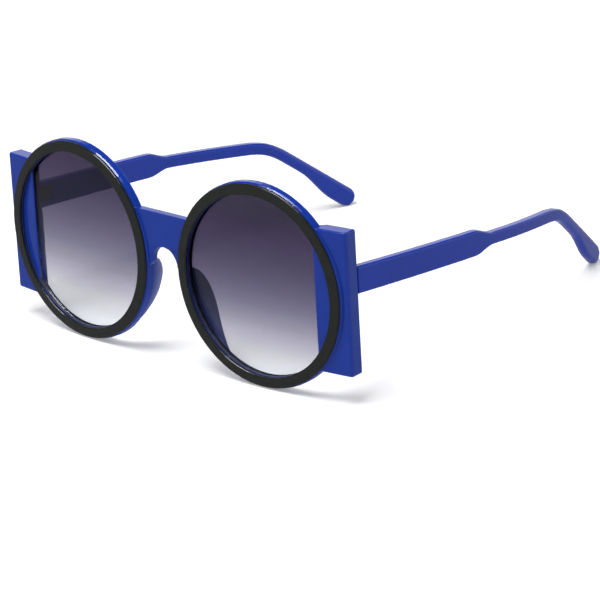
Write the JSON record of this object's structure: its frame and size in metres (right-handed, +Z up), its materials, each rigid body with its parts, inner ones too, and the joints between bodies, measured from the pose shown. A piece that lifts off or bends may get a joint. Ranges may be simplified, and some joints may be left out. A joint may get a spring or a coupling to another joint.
{
  "type": "round sunglasses",
  "caption": "Round sunglasses with square side wings, thin black rings, graduated lenses and folding stepped temples.",
  "frame": {"origin": "on the surface that the glasses stand on, below the middle of the open glasses", "axes": "+X to the wearer's left, +Y from the front back along the open temples, +Z up; the front faces -Y and leans back 1.8 degrees as it stands on its rims and temple tips"},
  "size_m": [0.1466, 0.1424, 0.0646],
  "materials": {
    "blue_front": "polished blue moulding",
    "blue_pad": "polished blue moulding",
    "blue_temple": "polished blue moulding",
    "black_ring": "satin black",
    "lens_tint": "polished, grey tint that fades towards the bottom",
    "hinge_leaf_steel": "fine brushed",
    "hinge_screw_steel": "fine turned"
  },
  "bodies": {
    "front": {"front_frame": "blue_front", "black_ring_left": "black_ring", "black_ring_right": "black_ring", "lens_left": "lens_tint", "lens_right": "lens_tint", "nose_pad_left": "blue_pad", "nose_pad_right": "blue_pad", "front_hinge_left": "hinge_leaf_steel", "front_hinge_right": "hinge_leaf_steel", "hinge_screw_left": "hinge_screw_steel", "hinge_screw_right": "hinge_screw_steel"},
    "left_temple": {"temple_left": "blue_temple", "temple_hinge_left": "hinge_leaf_steel"},
    "right_temple": {"temple_right": "blue_temple", "temple_hinge_right": "hinge_leaf_steel"}
  },
  "joints": [
    {"name": "left_fold", "type": "hinge", "parent": "front", "child": "left_temple", "pos_m": [0.06778, -0.05898, 0.03798], "axis": [0, 0.0311, 0.9995], "range_deg": [0, 84]},
    {"name": "right_fold", "type": "hinge", "parent": "front", "child": "right_temple", "pos_m": [-0.06778, -0.05898, 0.03798], "axis": [0, -0.0311, -0.9995], "range_deg": [0, 79.5]}
  ]
}
